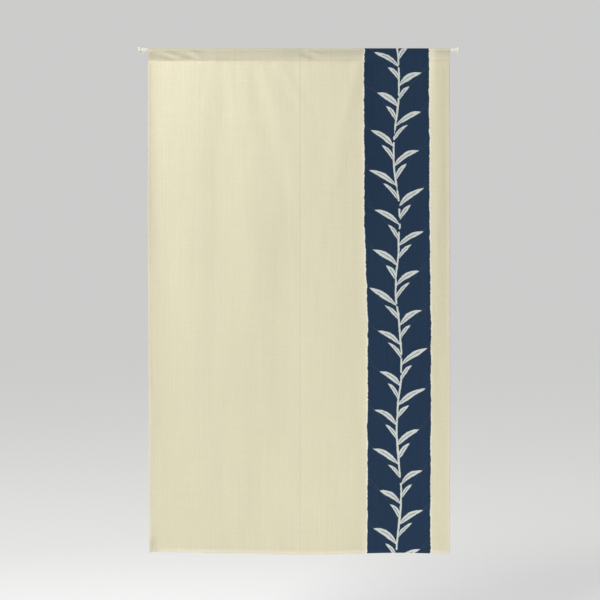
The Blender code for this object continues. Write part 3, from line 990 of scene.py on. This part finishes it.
threadLook = {
    "cream": (0.80, 0.75, 0.60),
    "creamDeep": (0.70, 0.65, 0.50),
    "navy": (0.020, 0.042, 0.085),
    "navyFrom": 0.004,  # how far inside the band's left edge the dark thread starts
    "twist": 2600.0,
    "roughness": 0.7,
    "sheen": 0.1,
}

# Worn paint and moulded plastic: two tones, where one turns into the other, and how rough and uneven they are
rodLook = {
    "tones": ((0.70, 0.68, 0.585), (0.62, 0.60, 0.52)),
    "turn": (0.42, 0.70),
    "cloudScale": (30.0, 260.0, 260.0),
    "cloudShift": 4.0,
    "roughness": (0.16, 0.28),
    "grainScale": 900.0,
    "grainShift": 1.0,
    "bump": (0.08, 0.0002),
}
capLook = {
    "tones": ((0.72, 0.71, 0.63), (0.64, 0.625, 0.54)),
    "turn": (0.35, 0.75),
    "cloudScale": (160.0, 160.0, 160.0),
    "cloudShift": 6.0,
    "roughness": (0.14, 0.39),
    "grainScale": 1500.0,
    "grainShift": 2.0,
    "bump": (0.12, 0.0003),
}


def makeThreadLook():
    look, tree, shader = newLook("sewingThread")
    place = tree.nodes.new("ShaderNodeTexCoord").outputs["Object"]
    split = tree.nodes.new("ShaderNodeSeparateXYZ")
    tree.links.new(place, split.inputs[0])
    bandStart = cloth["left"] + printBand["leftTop"] + threadLook["navyFrom"]
    bandEnd = cloth["left"] + printBand["rightTop"]
    pastStart = calc(tree, "GREATER_THAN", split.outputs[0], bandStart)
    beforeEnd = calc(tree, "LESS_THAN", split.outputs[0], bandEnd)
    inked = calc(tree, "MULTIPLY", pastStart, beforeEnd)
    twist = noiseAt(tree, place, (threadLook["twist"],) * 3, 1.0, 5.0)
    plain = mixTone(tree, twist, threadLook["cream"], threadLook["creamDeep"])
    color = mixTone(tree, inked, plain, threadLook["navy"])
    tree.links.new(color, shader.inputs["Base Color"])
    shader.inputs["Roughness"].default_value = threadLook["roughness"]
    shader.inputs["Sheen Weight"].default_value = threadLook["sheen"]
    return look


def makeHardLook(name, values):
    look, tree, shader = newLook(name)
    place = tree.nodes.new("ShaderNodeTexCoord").outputs["Object"]
    cloud = noiseAt(tree, place, values["cloudScale"], 3.0, values["cloudShift"])
    color = mixTone(tree, softStep(tree, cloud, *values["turn"]), *values["tones"])
    tree.links.new(color, shader.inputs["Base Color"])
    rough = calc(tree, "MULTIPLY_ADD", cloud, *values["roughness"])
    tree.links.new(rough, shader.inputs["Roughness"])
    grain = noiseAt(tree, place, (values["grainScale"],) * 3, 2.0, values["grainShift"])
    addBump(tree, shader, grain, *values["bump"])
    return look


def dressNode(nodeName, look):
    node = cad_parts[nodeName]
    node.data.materials.clear()
    node.data.materials.append(look)


def placeCamera():
    x, z = cameraView["aim"]
    bpy.ops.object.camera_add(location=(x, -cameraView["distance"], z), rotation=(math.pi / 2, 0.0, 0.0))
    camera = bpy.context.object
    camera.data.sensor_width = cameraView["sensor"]
    camera.data.lens = cameraView["sensor"] * cameraView["distance"] / cameraView["pictureWidth"]
    bpy.context.scene.camera = camera


def placeFloor():
    size = 2.0 * studio["floorHalf"]
    bpy.ops.mesh.primitive_plane_add(size=size, location=(rod["length"] / 2.0, 0.0, studio["floorHeight"]))
    floor = bpy.context.object
    floor.name = "studioFloor"
    look, tree, shader = newLook("studioFloorPaint")
    shader.inputs["Base Color"].default_value = (*studio["floorTone"], 1.0)
    shader.inputs["Roughness"].default_value = studio["floorRoughness"]
    shader.inputs["Specular IOR Level"].default_value = 0.0
    # a slight glow of its own brings the far floor to the backdrop's tone, so no horizon shows
    lit = [tone * sky * studio["skyStrength"] for tone, sky in zip(studio["floorTone"], studio["skyTone"])]
    missing = [back - have for back, have in zip(studio["backdropTone"], lit)]
    shader.inputs["Emission Color"].default_value = (*missing, 1.0)
    shader.inputs["Emission Strength"].default_value = 1.0
    floor.data.materials.append(look)


def placeLights():
    for light in studioLights:
        bpy.ops.object.light_add(type="AREA", location=light.spot)
        lamp = bpy.context.object
        lamp.name = light.name
        lamp.data.size = light.size
        lamp.data.energy = light.power
        lamp.data.color = light.tone
        aimed = Vector(light.aim) - Vector(light.spot)
        lamp.rotation_euler = aimed.to_track_quat("-Z", "Y").to_euler()
        lamp.visible_camera = False


def placeSky():
    # the sky lights the cloth, and the camera sees the backdrop's tone in its place
    world = bpy.data.worlds.new("studioSky")
    bpy.context.scene.world = world
    world.use_nodes = True
    tree = world.node_tree
    sky = tree.nodes["Background"]
    sky.inputs["Color"].default_value = (*studio["skyTone"], 1.0)
    sky.inputs["Strength"].default_value = studio["skyStrength"]
    backdrop = tree.nodes.new("ShaderNodeBackground")
    backdrop.inputs["Color"].default_value = (*studio["backdropTone"], 1.0)
    seen = tree.nodes.new("ShaderNodeLightPath")
    choose = tree.nodes.new("ShaderNodeMixShader")
    tree.links.new(seen.outputs["Is Camera Ray"], choose.inputs["Fac"])
    tree.links.new(sky.outputs["Background"], choose.inputs[1])
    tree.links.new(backdrop.outputs["Background"], choose.inputs[2])
    tree.links.new(choose.outputs["Shader"], tree.nodes["World Output"].inputs["Surface"])
    bpy.context.scene.view_settings.view_transform = "Standard"


bpy.ops.object.select_all(action="DESELECT")
placeCamera()
placeFloor()
placeLights()
placeSky()
print("camera, floor and lights placed")

creamFace = makeClothLook("creamFace", printed=False, reverse=False)
creamReverse = makeClothLook("creamReverse", printed=False, reverse=True)
printFace = makeClothLook("printFace", printed=True, reverse=False)
printReverse = makeClothLook("printReverse", printed=True, reverse=True)
print("cloth looks made")

halfGap = cloth["slitGap"] / 2.0
leftSpan = (cloth["left"], cloth["slit"] - halfGap)
rightSpan = (cloth["slit"] + halfGap, cloth["right"])
leftPanel = makePanel("norenLeft", *leftSpan, (creamFace, creamReverse), "panel_left")
rightPanel = makePanel("norenRight", *rightSpan, (printFace, printReverse), "panel_right")
sewing = makeThreadLook()
leftStitches = stitchPanel("norenLeft", *leftSpan, sewing)
rightStitches = stitchPanel("norenRight", *rightSpan, sewing)
print("panels hung")

dressNode("rod_tube", makeHardLook("rodPaint", rodLook))
capPlastic = makeHardLook("capPlastic", capLook)
dressNode("end_cap_left", capPlastic)
dressNode("end_cap_right", capPlastic)
print("rod dressed")
